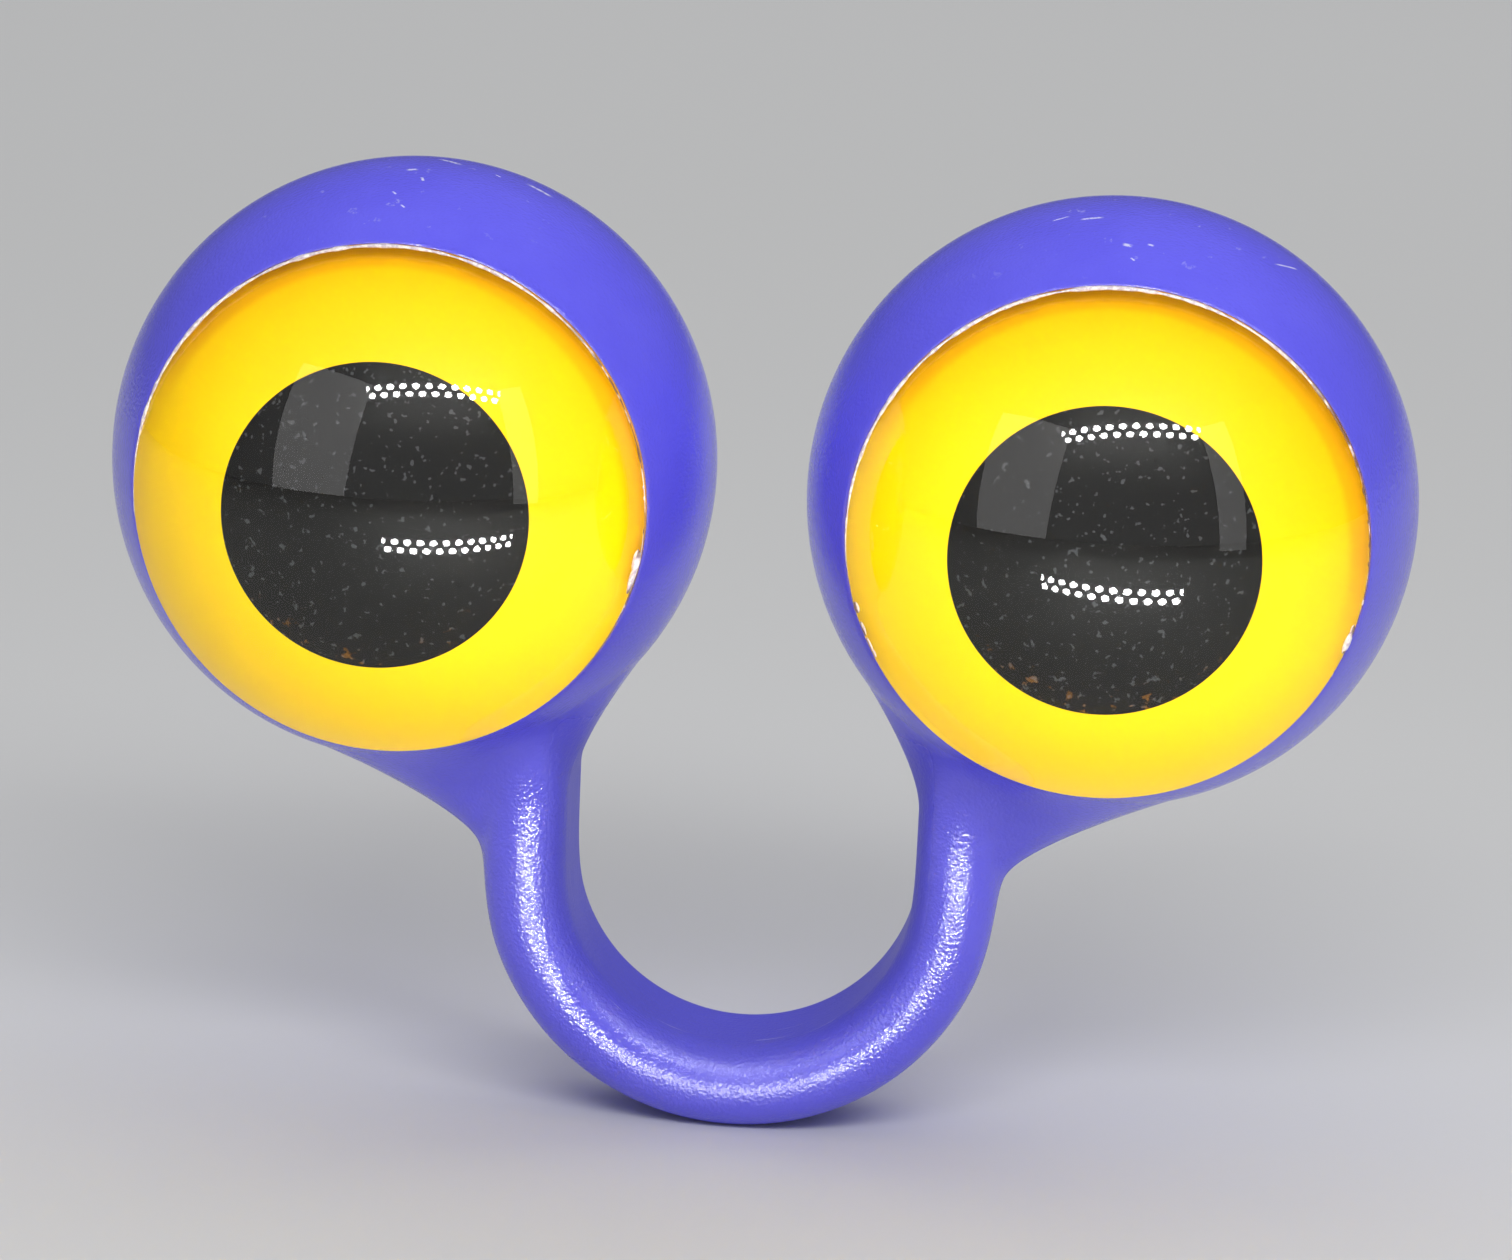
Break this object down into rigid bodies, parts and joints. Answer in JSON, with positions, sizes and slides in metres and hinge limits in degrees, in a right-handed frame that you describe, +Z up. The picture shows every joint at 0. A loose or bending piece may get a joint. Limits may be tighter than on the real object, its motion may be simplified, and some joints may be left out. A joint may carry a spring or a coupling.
{
  "type": "finger puppet eye ring",
  "caption": "Finger-puppet eye ring: soft moulded band worn on a finger, carrying ball-shaped goggle eyes with clear domed lenses, yellow irises and black pupils.",
  "frame": {"origin": "centre of the finger opening, in the middle of the band's depth", "axes": "+X to the viewer's right across both eyes, +Y along the finger and away from the way the eyes look, +Z up from the band to the eyes"},
  "size_m": [0.0646, 0.03, 0.0475],
  "materials": {
    "violet_vinyl": "satin soft vinyl",
    "clear_lens": "polished clear",
    "yellow_iris": "smooth yellow behind the clear lens",
    "black_pupil": "smooth black behind the clear lens"
  },
  "bodies": {
    "root": {"ring_body": "violet_vinyl", "left_lens": "clear_lens", "right_lens": "clear_lens", "left_iris": "yellow_iris", "right_iris": "yellow_iris", "left_pupil": "black_pupil", "right_pupil": "black_pupil"}
  },
  "joints": []
}
